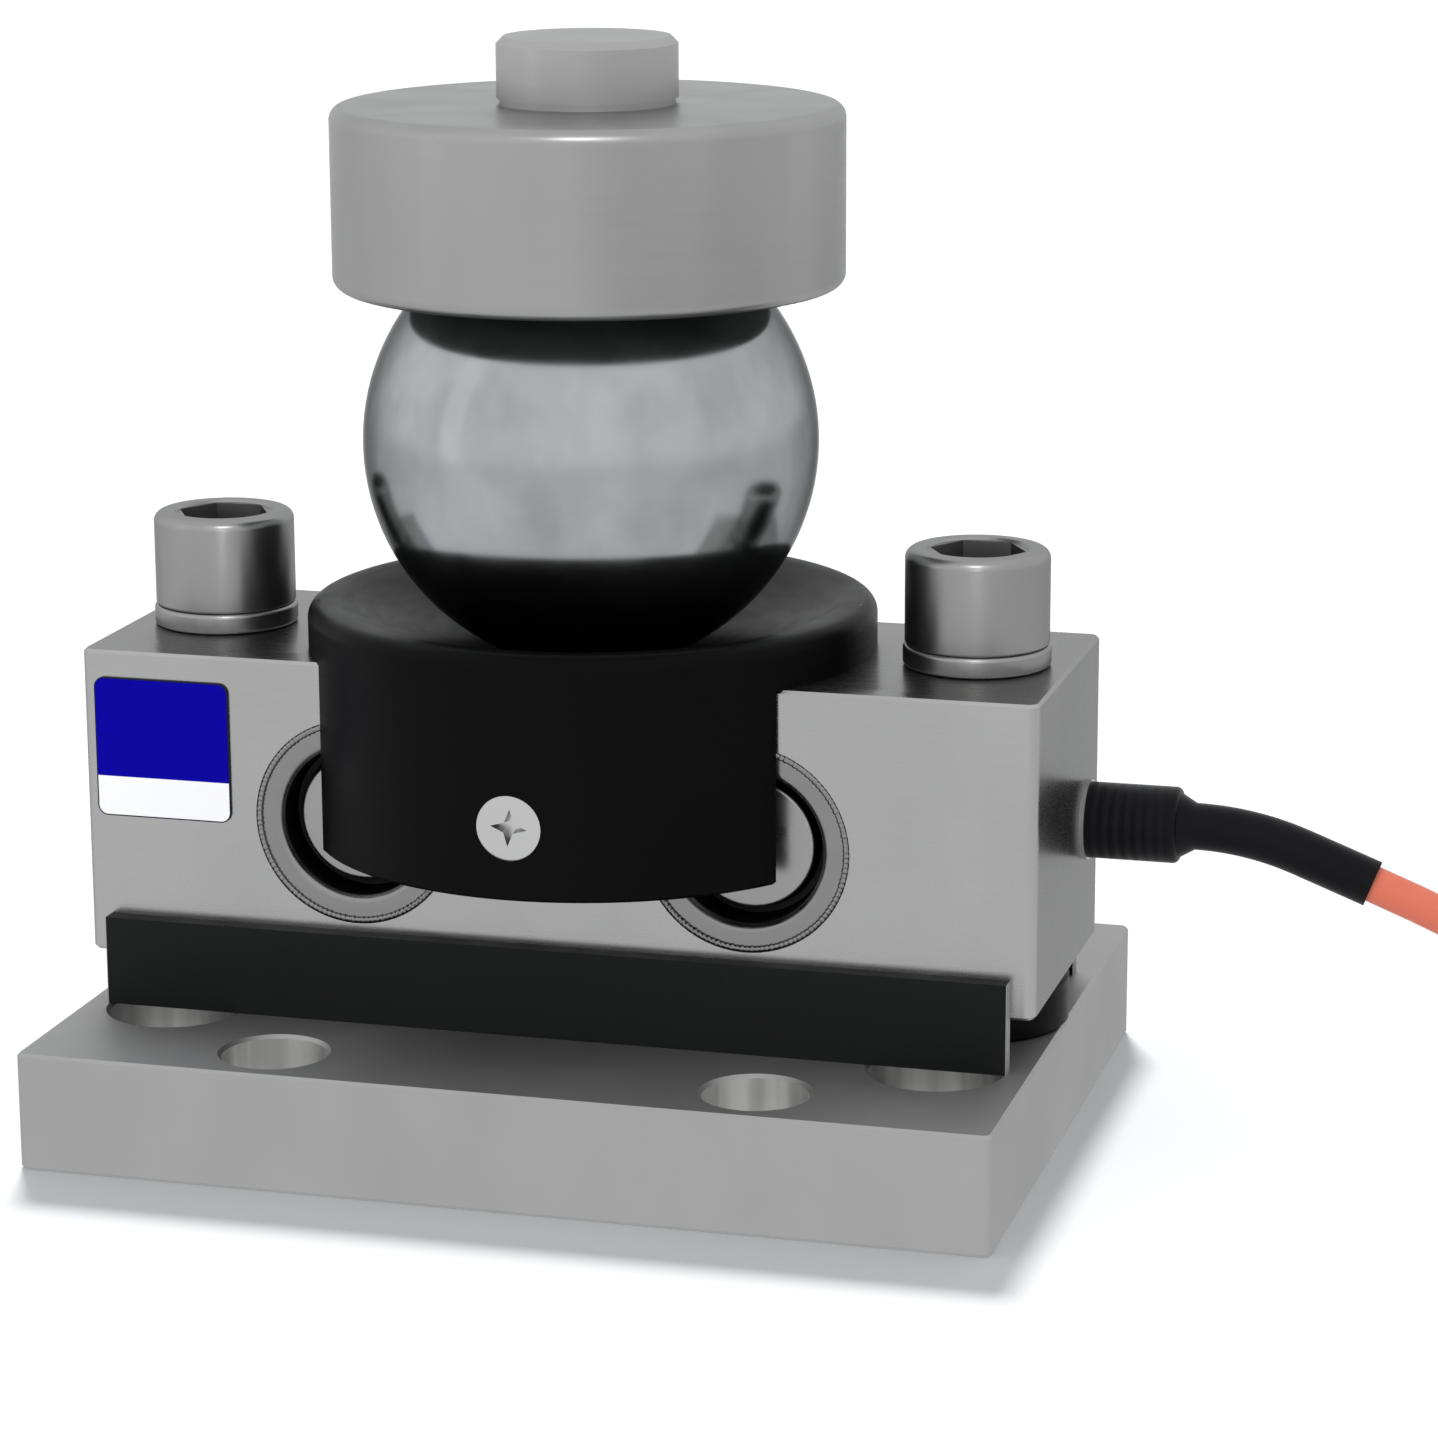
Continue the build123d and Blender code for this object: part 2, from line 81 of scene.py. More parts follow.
class Field:
    """A shader socket that takes part in Python expressions."""

    def __init__(self, shader, socket):
        self.shader = shader
        self.socket = socket

    def _maths(self, operation, *values):
        return self.shader.node("ShaderNodeMath", {"operation": operation}, *values)

    def __add__(self, other):
        return self._maths("ADD", self, other)

    __radd__ = __add__

    def __mul__(self, other):
        return self._maths("MULTIPLY", self, other)

    __rmul__ = __mul__

    def __sub__(self, other):
        return self._maths("SUBTRACT", self, other)

    def __rsub__(self, other):
        return self._maths("SUBTRACT", other, self)

    def __truediv__(self, other):
        return self._maths("DIVIDE", self, other)

    def __lt__(self, other):
        return self._maths("LESS_THAN", self, other)

    def __gt__(self, other):
        return self._maths("GREATER_THAN", self, other)

    def __abs__(self):
        return self._maths("ABSOLUTE", self)

    def power(self, exponent):
        return self._maths("POWER", self, exponent)

    def sine(self):
        return self._maths("SINE", self)

    def between(self, low, high, start=0.0, end=1.0):
        """A smooth step from start to end as the value goes from low to high."""
        return self.shader.node("ShaderNodeMapRange", {"interpolation_type": "SMOOTHSTEP"},
                                self, low, high, start, end)


class Shader:
    """One finish: a Principled shader and the nodes that vary it over a piece."""

    def __init__(self, name, **constants):
        self.material = bpy.data.materials.new(name)
        self.material.use_nodes = True
        self.tree = self.material.node_tree
        self.surface = self.tree.nodes["Principled BSDF"]
        for socket, value in constants.items():
            self.surface.inputs[socket.replace("_", " ")].default_value = value

    def node(self, kind, settings=None, *values, output=0, **named):
        """Adds a node, its settings first and then its inputs, and gives back one output."""
        made = self.tree.nodes.new(kind)
        for key, value in (settings or {}).items():
            setattr(made, key, value)
        inputs = [socket for socket in made.inputs if socket.enabled]
        pairs = list(zip(inputs, values))
        pairs += [(made.inputs[key.replace("_", " ")], value) for key, value in named.items()]
        for socket, value in pairs:
            if isinstance(value, Field):
                self.tree.links.new(value.socket, socket)
            elif value is not None:
                socket.default_value = value
        outputs = [socket for socket in made.outputs if socket.enabled]
        return Field(self, outputs[output])

    def place(self, scale=(1.0, 1.0, 1.0), centre=(0.0, 0.0, 0.0), turn=(0.0, 0.0, 0.0)):
        """Object coordinates, centred, turned and scaled."""
        where = self.node("ShaderNodeTexCoord", output=3)
        centred = self.node("ShaderNodeVectorMath", {"operation": "SUBTRACT"}, where, centre)
        return self.node("ShaderNodeMapping", None, centred, Rotation=turn, Scale=scale)

    def part(self, vector):
        """The X, Y and Z of a vector."""
        made = self.node("ShaderNodeSeparateXYZ", None, vector)
        return [Field(self, socket) for socket in made.socket.node.outputs]

    def noise(self, vector, scale, detail=2.0, roughness=0.5):
        return self.node("ShaderNodeTexNoise", None, vector,
                         Scale=scale, Detail=detail, Roughness=roughness)

    def blend(self, factor, first, second):
        """Mixes two colours."""
        made = self.tree.nodes.new("ShaderNodeMix")
        made.data_type = "RGBA"
        for socket, value in ((made.inputs[0], factor), (made.inputs[6], first), (made.inputs[7], second)):
            if isinstance(value, Field):
                self.tree.links.new(value.socket, socket)
            else:
                socket.default_value = (*value, 1.0) if hasattr(value, "__len__") else value
        return Field(self, made.outputs[2])

    def drive(self, socket, field):
        self.tree.links.new(field.socket, self.surface.inputs[socket])

    def bump(self, height, strength, distance):
        made = self.node("ShaderNodeBump", None, Strength=strength, Distance=distance, Height=height)
        self.drive("Normal", made)


# Finishes

EVEN_GRAIN = (110.0, 110.0, 110.0)
FINE_GRAIN = (200.0, 200.0, 200.0)
WELD_GRAIN = (500.0, 500.0, 500.0)
LONG_GRAIN = (150.0, 3200.0, 3200.0)
BORE_MARGIN = 2.0 * MM
BORE_STEEPNESS = 0.4
BORE_SHINE = 0.15
TURNING_PITCH = 0.4 * MM
UNDERSIDE_EDGE = (0.2 * MM, 0.7 * MM)
SEAL_GROOVE = (10.5 * MM, 10.8 * MM)
SEAL_GROOVE_DEPTH = (0.9 * MM, 1.6 * MM)
SEAL_FLANGE = (13.0 * MM, 13.8 * MM)
SEAL_RING_PITCH = 0.5 * MM
NAMEPLATE_CORNER = 1.8 * MM
NAMEPLATE_EDGE = 0.22 * MM
NAMEPLATE_WHITE = 6.9 * MM
BOOT_BODY = (13.5 * MM, 14.0 * MM)
BOOT_RING_PITCH = 1.9 * MM
STRIP_END = 0.1 * MM
STRIPPED_LENGTH = 5.0 * MM
STRAP_RIB_PITCH = 1.3 * MM
LEAD_TINTS = [
    (0.55, 0.02, 0.02),
    (0.02, 0.30, 0.06),
    (0.75, 0.75, 0.72),
    (0.012, 0.012, 0.012),
    (0.5, 0.5, 0.48),
]


def grey(value):
    """A grey a touch warmer than neutral."""
    return (value, value, value * 0.985)


def metal(name, edge=0.6, **constants):
    """Plated steel's shader, whose edge says how bright it mirrors at a grazing angle."""
    return Shader(name, Metallic=1.0, Specular_Tint=(edge, edge, edge, 1.0), **constants)


def plated_steel(name, tone, roughness, grain=LONG_GRAIN, edge=0.6, bores=None):
    """Satin plating over ground steel, with fine marks, a soft cloudy change and, in one node, bore walls
    painted paler as painted light, with upright streaks like turning marks.
    """
    shader = metal(name, edge)
    where = shader.place()
    marks = shader.noise(shader.place(grain), 1.0, 2.0)
    cloud = shader.noise(where, 22.0, 2.0)
    blotch = shader.noise(shader.place((1.0, 1.0, 0.5)), 70.0, 3.0)
    mixed = marks.between(0.2, 0.8) * 0.2 + cloud.between(0.3, 0.7) * 0.5 + blotch.between(0.3, 0.7) * 0.3
    finish = shader.blend(mixed, grey(tone * 0.94), grey(tone * 1.06))
    satin = marks.between(0.3, 0.7, roughness - 0.02, roughness + 0.02)
    satin = satin + cloud.between(0.3, 0.7, -0.02, 0.02)
    if bores:
        x, y, _ = shader.part(where)
        upright = abs(shader.part(shader.node("ShaderNodeTexCoord", output=1))[2]) < BORE_STEEPNESS
        _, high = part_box(bores)
        # Painted light: the bore walls get a paler, streaked colour that stands in for light falling on them.
        painted_lighting_wall = upright * (abs(x) < high[0] - BORE_MARGIN) * (abs(y) < high[1] - BORE_MARGIN)
        streak = shader.noise(shader.place((1.0, 1.0, 0.05)), 260.0, 2.0)
        finish = shader.blend(painted_lighting_wall, finish, shader.blend(streak.between(0.3, 0.7), grey(0.62), grey(0.92)))
        satin = satin - painted_lighting_wall * BORE_SHINE
    shader.drive("Base Color", finish)
    shader.drive("Roughness", satin)
    shader.bump(marks, 0.018, 0.00002)
    return shader.material


def turned_steel(name, tone, roughness, underside=0.0):
    """Turned and plated steel: fine rings round the upright axis, and painted shade, near black, at and below
    its underside, where shade falls under the piece.
    """
    shader = metal(name, 0.72)
    x, y, z = shader.part(shader.place())
    radius = (x * x + y * y).power(0.5)
    rings = ((radius + z) * (FULL_TURN / TURNING_PITCH)).sine()
    fine = shader.noise(shader.place((1.0, 1.0, 12.0)), 80.0, 3.0)
    cloud = shader.noise(shader.place((1.0, 1.0, 0.3)), 40.0, 2.0)
    mixed = fine * 0.3 + cloud.between(0.3, 0.7) * 0.7
    bright = shader.blend(mixed, grey(tone * 0.91), grey(tone * 1.08))
    # Painted shade: the underside and a thin band above it are painted near black, standing in for the shade
    # under the piece.
    shade = z.between(underside + UNDERSIDE_EDGE[0], underside + UNDERSIDE_EDGE[1])
    grain = shader.noise(shader.place(), 500.0, 3.0)
    black = shader.blend(grain, (0.030, 0.032, 0.030), (0.050, 0.053, 0.050))
    shader.drive("Base Color", shader.blend(shade, black, bright))
    shader.drive("Roughness", fine.between(0.3, 0.7, roughness - 0.03, roughness + 0.04))
    shader.bump(rings * 0.3 + fine, 0.06, 0.00002)
    return shader.material


def polished_steel(name, tone):
    """A lapped bearing ball: mirror bright under a soft cloudy haze."""
    shader = metal(name, 0.27)
    haze = shader.noise(shader.place(), 55.0, 3.0)
    film = shader.noise(shader.place((1.0, 1.0, 0.6)), 120.0, 2.0)
    mottle = haze.between(0.35, 0.65) * 0.6 + film.between(0.3, 0.7) * 0.4
    shader.drive("Base Color", shader.blend(mottle, (tone * 0.80, tone * 0.825, tone * 0.83),
                                            (tone * 1.07, tone * 1.10, tone * 1.11)))
    shader.drive("Roughness", haze.between(0.3, 0.7, 0.13, 0.20))
    return shader.material


def black_oxide(name, tone=0.0018, roughness=0.38):
    """Blackened steel: dark, oiled, with faint turning marks."""
    shader = Shader(name, Specular_IOR_Level=0.06)
    fine = shader.noise(shader.place((1.0, 1.0, 10.0)), 140.0, 3.0)
    cloud = shader.noise(shader.place(), 30.0, 3.0)
    shader.drive("Base Color", shader.blend(cloud, (tone * 0.8, tone * 0.84, tone * 0.86),
                                            (tone * 1.4, tone * 1.45, tone * 1.5)))
    shader.drive("Roughness", fine.between(0.3, 0.7, roughness - 0.02, roughness + 0.03))
    shader.bump(fine, 0.02, 0.00003)
    return shader.material


def drawn_seal(name, tone):
    """Drawn sheet: a heat-dulled flange, a bright lip and disc, and a groove painted near black as painted
    shade.
    """
    shader = metal(name)
    x, y, z = shader.part(shader.place())
    low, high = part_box("seal_cup_back_right")
    across = abs(x) - (low[0] + high[0]) / 2
    along = z - (low[2] + high[2]) / 2
    radius = (across * across + along * along).power(0.5)
    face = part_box("shear_beam")[1][1]
    depth = face - abs(y)
    # Painted shade: the groove's walls are painted near black, standing in for the shade deep in the groove.
    painted_lighting_wall = radius.between(*SEAL_GROOVE) * depth.between(*SEAL_GROOVE_DEPTH)
    cloud = shader.noise(shader.place(), 150.0, 2.0)
    rings = (radius * (FULL_TURN / SEAL_RING_PITCH)).sine()
    bright = shader.blend(cloud, grey(tone * 0.88), grey(tone * 1.12))
    dull = shader.blend(cloud, grey(tone * 0.68), grey(tone * 0.86))
    flange = radius.between(*SEAL_FLANGE)
    sheet = shader.blend(flange, bright, dull)
    shader.drive("Base Color", shader.blend(painted_lighting_wall, sheet, (0.022, 0.022, 0.024)))
    shader.drive("Roughness", cloud.between(0.3, 0.7, 0.24, 0.34) + painted_lighting_wall * 0.25)
    shader.bump(rings * 0.2 + cloud, 0.05, 0.00003)
    return shader.material


def printed_plate(name):
    """A bare printed film: blue over white, inside a thin dark edge with rounded corners."""
    shader = Shader(name, Specular_IOR_Level=0.04)
    x, _, z = shader.part(shader.place())
    low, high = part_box("nameplate")
    half = (high[0] - low[0]) / 2
    across = abs(x - (low[0] + high[0]) / 2) - (half - NAMEPLATE_CORNER)
    upright = abs(z - (low[2] + high[2]) / 2) - (half - NAMEPLATE_CORNER)
    across = shader.node("ShaderNodeMath", {"operation": "MAXIMUM"}, across, 0.0)
    upright = shader.node("ShaderNodeMath", {"operation": "MAXIMUM"}, upright, 0.0)
    rim = (across * across + upright * upright).power(0.5) > NAMEPLATE_CORNER - NAMEPLATE_EDGE
    upper = z > low[2] + NAMEPLATE_WHITE
    film = shader.blend(upper, (0.98, 0.98, 0.98), (0.0015, 0.0, 0.345))
    shader.drive("Base Color", shader.blend(rim, film, (0.012, 0.012, 0.03)))
    cloud = shader.noise(shader.place(), 300.0, 2.0)
    shader.drive("Roughness", cloud.between(0.3, 0.7, 0.30, 0.38))
    return shader.material


def moulded_rubber(name):
    """Black moulded rubber, with fine rings round the boot's straight body."""
    shader = Shader(name, Specular_IOR_Level=0.12)
    x = shader.part(shader.place())[0]
    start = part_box("cable_boot")[0][0]
    body = x.between(start + BOOT_BODY[0], start + BOOT_BODY[1], 1.0, 0.0)
    rings = (x * (FULL_TURN / BOOT_RING_PITCH)).sine() * body
    grain = shader.noise(shader.place(), 900.0, 2.0)
    cloud = shader.noise(shader.place(), 60.0, 2.0)
    tone = cloud.between(0.3, 0.7) * 0.5 + rings.between(-1.0, 1.0) * body * 0.5
    shader.drive("Base Color", shader.blend(tone, (0.003, 0.003, 0.004), (0.006, 0.006, 0.008)))
    shader.drive("Roughness", cloud.between(0.3, 0.7, 0.36, 0.46))
    shader.bump(grain * 0.15 + rings, 0.35, 0.00012)
    return shader.material


def painted_strip(name):
    """Black paint on steel strip, pale grey at the cut ends."""
    shader = Shader(name, Specular_IOR_Level=0.15)
    x = shader.part(shader.place())[0]
    cut = abs(x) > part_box("guard_strip_front")[1][0] - STRIP_END
    cloud = shader.noise(shader.place(), 120.0, 2.0)
    paint = shader.blend(cloud, (0.0058, 0.0062, 0.0062), (0.0078, 0.0084, 0.0084))
    shader.drive("Base Color", shader.blend(cut, paint, (0.30, 0.30, 0.29)))
    shader.drive("Roughness", cloud.between(0.3, 0.7, 0.45, 0.55))
    shader.bump(cloud, 0.05, 0.00003)
    return shader.material


def lead_colours(name):
    """Five leads side by side on the coil's ledge: four coloured cores and a screen, with bare ends."""
    shader = Shader(name, Specular_IOR_Level=0.4)
    x, y, _ = shader.part(shader.place())
    centre_x, centre_y = coil_centre()
    across, along = x - centre_x, y - centre_y
    radius = (across * across + along * along).power(0.5)
    innermost_turn = COIL_MIDDLE_RADIUS - COIL_LAYERS / 2 * TURN_SPACING + TURN_SPACING / 2
    first = innermost_turn - 1.5 * LEAD_SPACING
    colour, *others = LEAD_TINTS
    for number, tint in enumerate(others):
        colour = shader.blend(radius > first + number * LEAD_SPACING, colour, tint)
    bare = shader.part(shader.place())[1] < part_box("cable_leads")[0][1] + STRIPPED_LENGTH
    cloud = shader.noise(shader.place(), 400.0, 2.0)
    tinned = shader.blend(cloud, (0.50, 0.50, 0.48), (0.62, 0.62, 0.60))
    shader.drive("Base Color", shader.blend(bare, colour, tinned))
    shader.drive("Roughness", cloud.between(0.3, 0.7, 0.30, 0.40))
    return shader.material


def cable_jacket(name):
    shader = Shader(name, Specular_IOR_Level=0.4)
    cloud = shader.noise(shader.place(), 120.0, 3.0)
    grain = shader.noise(shader.place(), 1500.0, 1.0)
    shader.drive("Base Color", shader.blend(cloud, (0.69, 0.15, 0.085), (0.76, 0.20, 0.12)))
    shader.drive("Roughness", cloud.between(0.3, 0.7, 0.42, 0.52))
    shader.bump(grain, 0.10, 0.00003)
    return shader.material


def woven_strap(name):
    """Black woven tape, ribbed across its width where it goes round the coil."""
    shader = Shader(name, Specular_IOR_Level=0.2)
    centre_x, centre_y = coil_centre()
    across, along, height = shader.part(shader.place(centre=(centre_x, centre_y, 0.0)))
    radius = (across * across + along * along).power(0.5)
    ribs = ((radius + height) * (FULL_TURN / STRAP_RIB_PITCH)).sine()
    fuzz = shader.noise(shader.place(), 1400.0, 2.0)
    tone = ribs.between(-1.0, 1.0) * 0.5 + fuzz.between(0.3, 0.7) * 0.5
    shader.drive("Base Color", shader.blend(tone, (0.010, 0.010, 0.011), (0.028, 0.028, 0.030)))
    shader.drive("Roughness", fuzz.between(0.3, 0.7, 0.75, 0.90))
    shader.bump(ribs * 0.7 + fuzz * 0.5, 0.4, 0.00012)
    return shader.material


def plain(name, colour, roughness, metallic=0.0, spread=0.12, scale=200.0, gloss=0.5):
    """A small piece's finish, with a little change of tone and gloss."""
    shader = Shader(name, Metallic=metallic, Specular_IOR_Level=gloss)
    cloud = shader.noise(shader.place(), scale, 2.0)
    low = tuple(c * (1 - spread) for c in colour)
    high = tuple(c * (1 + spread) for c in colour)
    shader.drive("Base Color", shader.blend(cloud, low, high))
    shader.drive("Roughness", cloud.between(0.3, 0.7, roughness - 0.04, roughness + 0.04))
    shader.bump(cloud, 0.05, 0.00003)
    return shader.material


# Meshes

def add_object(name, mesh, *materials):
    made = bpy.data.objects.new(name, mesh)
    bpy.context.collection.objects.link(made)
    for material in materials:
        mesh.materials.append(material)
    return made


def dress(node, material):
    """Gives a CAD node its finish."""
    made = bpy.data.objects[node]
    made.data.materials.clear()
    made.data.materials.append(material)


def smooth(shell, angle=35.0):
    """Shades a shell smooth, with sharp edges where it turns by more than the angle."""
    for face in shell.faces:
        face.smooth = True
    limit = math.radians(angle)
    for edge in shell.edges:
        edge.smooth = len(edge.link_faces) == 2 and edge.calc_face_angle(0.0) < limit


def smooth_copy(node, material):
    """A CAD node's shape with its facets merged and shaded smooth, standing for the node."""
    mesh = bpy.data.objects[node].data.copy()
    shell = bmesh.new()
    shell.from_mesh(mesh)
    bmesh.ops.remove_doubles(shell, verts=shell.verts, dist=0.000002)
    smooth(shell)
    shell.to_mesh(mesh)
    shell.free()
    mesh.materials.clear()
    made = add_object(node + "_surface", mesh, material)
    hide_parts(node)
    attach(made, "root")


# Weld seams of the seal cups

SEAM_SINK = 0.5 * MM
SEAM_SIZES = {
    "Seam Radius": 16.9 * MM,
    "Pearl Radius": 0.62 * MM,
    "Pearl Height": 0.62 * MM,
    "Pearl Pitch": 0.85 * MM,
    "Smallest Pearl": 0.90,
    "Largest Pearl": 1.06,
}


def seam_tree(material):
    """Overlapping weld pearls round a circle, as a node tree with named sizes and a fixed seed."""
    tree = bpy.data.node_groups.new("weld_seam", "GeometryNodeTree")
    for name, value in SEAM_SIZES.items():
        socket = tree.interface.new_socket(name, in_out="INPUT", socket_type="NodeSocketFloat")
        socket.default_value = value
    seed = tree.interface.new_socket("Seed", in_out="INPUT", socket_type="NodeSocketInt")
    seed.default_value = 7
    tree.interface.new_socket("Geometry", in_out="OUTPUT", socket_type="NodeSocketGeometry")

    def add(kind, settings=None, **inputs):
        made = tree.nodes.new(kind)
        for key, value in (settings or {}).items():
            setattr(made, key, value)
        for key, value in inputs.items():
            socket = made.inputs[key.replace("_", " ")]
            if isinstance(value, bpy.types.NodeSocket):
                tree.links.new(value, socket)
            else:
                socket.default_value = value
        return made

    given = add("NodeGroupInput").outputs
    circle = add("GeometryNodeCurvePrimitiveCircle", Resolution=128, Radius=given["Seam Radius"])
    spots = add("GeometryNodeCurveToPoints", {"mode": "LENGTH"}, Curve=circle.outputs["Curve"],
                Length=given["Pearl Pitch"])
    pearl = add("GeometryNodeMeshIcoSphere", Radius=given["Pearl Radius"], Subdivisions=2)
    height = add("ShaderNodeMath", {"operation": "DIVIDE"})
    tree.links.new(given["Pearl Height"], height.inputs[0])
    tree.links.new(given["Pearl Radius"], height.inputs[1])
    flat = add("ShaderNodeCombineXYZ", X=1.0, Y=1.0, Z=height.outputs[0])
    shaped = add("GeometryNodeTransform", Geometry=pearl.outputs["Mesh"], Scale=flat.outputs[0])
    change = add("FunctionNodeRandomValue", {"data_type": "FLOAT"}, Seed=given["Seed"])
    tree.links.new(given["Smallest Pearl"], change.inputs[2])
    tree.links.new(given["Largest Pearl"], change.inputs[3])
    ring = add("GeometryNodeInstanceOnPoints", Points=spots.outputs["Points"],
               Instance=shaped.outputs["Geometry"], Scale=change.outputs[1])
    real = add("GeometryNodeRealizeInstances", Geometry=ring.outputs["Instances"])
    shaded = add("GeometryNodeSetShadeSmooth", Geometry=real.outputs["Geometry"])
    dressed = add("GeometryNodeSetMaterial", Geometry=shaded.outputs["Geometry"], Material=material)
    out = add("NodeGroupOutput")
    tree.links.new(dressed.outputs["Geometry"], out.inputs["Geometry"])
    return tree


def plain_mesh(tree, name):
    """What a node tree makes, as a mesh of its own."""
    holder = add_object(name + "_holder", bpy.data.meshes.new(name + "_holder"))
    modifier = holder.modifiers.new("shape", "NODES")
    modifier.node_group = tree
    bpy.context.view_layer.update()
    shape = holder.evaluated_get(bpy.context.evaluated_depsgraph_get())
    mesh = bpy.data.meshes.new_from_object(shape)
    holder.modifiers.remove(modifier)
    bpy.data.objects.remove(holder)
    return mesh


def make_seams(material):
    """One seam round each seal cup's flange, in one mesh."""
    seam = plain_mesh(seam_tree(material), "seal_welds")
    joined = bmesh.new()
    for side, out in (("front", -1), ("back", 1)):
        for end in ("left", "right"):
            low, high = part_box(f"seal_cup_{side}_{end}")
            face = min(low[1], high[1], key=lambda y: -out * y)
            centre = Vector(((low[0] + high[0]) / 2, face - out * SEAM_SINK, (low[2] + high[2]) / 2))
            copy = seam.copy()
            copy.transform(Matrix.Translation(centre) @ Matrix.Rotation(math.radians(90) * -out, 4, "X"))
            joined.from_mesh(copy)
            bpy.data.meshes.remove(copy)
    mesh = bpy.data.meshes.new("seal_welds")
    joined.to_mesh(mesh)
    joined.free()
    for face in mesh.polygons:
        face.use_smooth = True
    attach(add_object("seal_welds", mesh, material), "root")


# Cable: the droop from the boot's end, then the coil

CABLE_DIAMETER = 6.2 * MM
TURN_SPACING = 6.4 * MM
COIL_LAYERS = 5
COIL_ROWS = 5
COIL_MIDDLE_RADIUS = 38.0 * MM
COIL_BASE = 0.8 * MM
LAST_ARC = 75.0
LEAD_SPACING = 1.2 * MM
TURN_POINTS = 24
SHIFT_START = 0.54
SHIFT_PART = 0.26
ROW_CHANGE_BULGE = 0.45
CABLE_ROUTE = [
    (130.668, 15.5, 43.491),
    (143.1, 15.5, 38.72),
    (154.7, 17.7, 31.9),
    (164.3, 22.3, 22.9),
    (173.5, 28.1, 13.7),
    (184.7, 33.5, 6.8),
    (197.3, 36.7, 4.0),
    (210.4, 36.7, 4.0),
]


def coil_centre():
    """The coil's solid reaches its full radius to the right and to the front."""
    low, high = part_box("cable_coil")
    radius = COIL_MIDDLE_RADIUS + COIL_LAYERS / 2 * TURN_SPACING
    return high[0] - radius, low[1] + radius


def coil_points():
    """The winding, clockwise from above. Rows go in and out in turn, and turns shift between two straps.

    The points stand a little outside the turns, because a smooth line of degree two cuts their corners.
    """
    centre_x, centre_y = coil_centre()
    outermost = COIL_MIDDLE_RADIUS + (COIL_LAYERS - 1) / 2 * TURN_SPACING
    hull = 1 / (0.75 + 0.25 * math.cos(FULL_TURN / TURN_POINTS))
    last_turn = COIL_ROWS * COIL_LAYERS - 1
    count = int((last_turn + LAST_ARC / 360) * TURN_POINTS)
    points = []
    for number in range(count + 1):
        turn, step = divmod(number, TURN_POINTS)
        row, layer = divmod(turn, COIL_LAYERS)
        shift = min(max((step / TURN_POINTS - SHIFT_START) / SHIFT_PART, 0.0), 1.0)
        shift = shift * shift * (3 - 2 * shift)
        inward = row % 2 == 0
        place = layer if inward else COIL_LAYERS - 1 - layer
        rise = 0.0
        bulge = 0.0
        if layer < COIL_LAYERS - 1:
            place += shift if inward else -shift
        elif turn < last_turn:
            rise = shift
            bulge = (ROW_CHANGE_BULGE if inward else -ROW_CHANGE_BULGE) * math.sin(math.pi * shift)
        radius = (outermost - (place + bulge) * TURN_SPACING) * hull
        angle = math.radians(90) - FULL_TURN * number / TURN_POINTS
        height = COIL_BASE + (row + rise + 0.5) * TURN_SPACING
        points.append((centre_x + radius * math.cos(angle), centre_y + radius * math.sin(angle), height))
    return points


def make_cable(material):
    route = [tuple(c * MM for c in point) for point in CABLE_ROUTE]
    points = route + coil_points()
    curve = bpy.data.curves.new("signal_cable_line", "CURVE")
    curve.dimensions = "3D"
    curve.bevel_depth = CABLE_DIAMETER / 2
    curve.bevel_resolution = 6
    curve.use_fill_caps = True
    spline = curve.splines.new("NURBS")
    spline.points.add(len(points) - 1)
    for control, point in zip(spline.points, points):
        control.co = (*point, 1.0)
    spline.order_u = 3
    spline.use_endpoint_u = True
    spline.resolution_u = 3
    spline.use_smooth = True
    curve.materials.append(material)
    cable = bpy.data.objects.new("signal_cable_line", curve)
    bpy.context.collection.objects.link(cable)
    cable.visible_glossy = False
    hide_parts("signal_cable", "cable_coil")
    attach(cable, "root")
    return cable


# Straps round the coil

STRAP_WIDTH = 12.0 * MM
STRAP_THICKNESS = 0.8 * MM
STRAP_STEPS = 8
STRAP_OVERLAP = (6.0 * MM, 25.0 * MM)
STRAP_END_CORNER = 0.45


def rounded_loop(low, high, corner, steps=6):
    """A rectangle with rounded corners, in radius and height."""
    loop = []
    centres = ((high[0] - corner, high[1] - corner), (low[0] + corner, high[1] - corner),
               (low[0] + corner, low[1] + corner), (high[0] - corner, low[1] + corner))
    for turn, (across, up) in enumerate(centres):
        for step in range(steps + 1):
            angle = math.radians(90.0) * (turn + step / steps)
            loop.append((across + corner * math.cos(angle), up + corner * math.sin(angle)))
    return loop


def sweep_strap(shell, loops, centre, angle):
    """Carries a ring of one or two loops across the strap's width, bent round the coil's turns."""
    ahead = Vector((math.cos(angle), math.sin(angle), 0.0))
    aside = Vector((-math.sin(angle), math.cos(angle), 0.0))
    rows = []
    for step in range(STRAP_STEPS + 1):
        offset = STRAP_WIDTH * (step / STRAP_STEPS - 0.5)
        rows.append([[shell.verts.new(centre + ahead * math.sqrt(radius * radius - offset * offset)
                                      + aside * offset + Vector((0.0, 0.0, height)))
                      for radius, height in loop] for loop in loops])
    count = len(loops[0])
    for before, after in zip(rows, rows[1:]):
        for one, other in zip(before, after):
            for number in range(count):
                following = (number + 1) % count
                shell.faces.new((one[number], one[following], other[following], other[number]))
    for row in (rows[0], rows[-1]):
        if len(row) == 1:
            shell.faces.new(row[0])
            continue
        for number in range(count):
            following = (number + 1) % count
            shell.faces.new((row[0][number], row[0][following], row[1][following], row[1][number]))


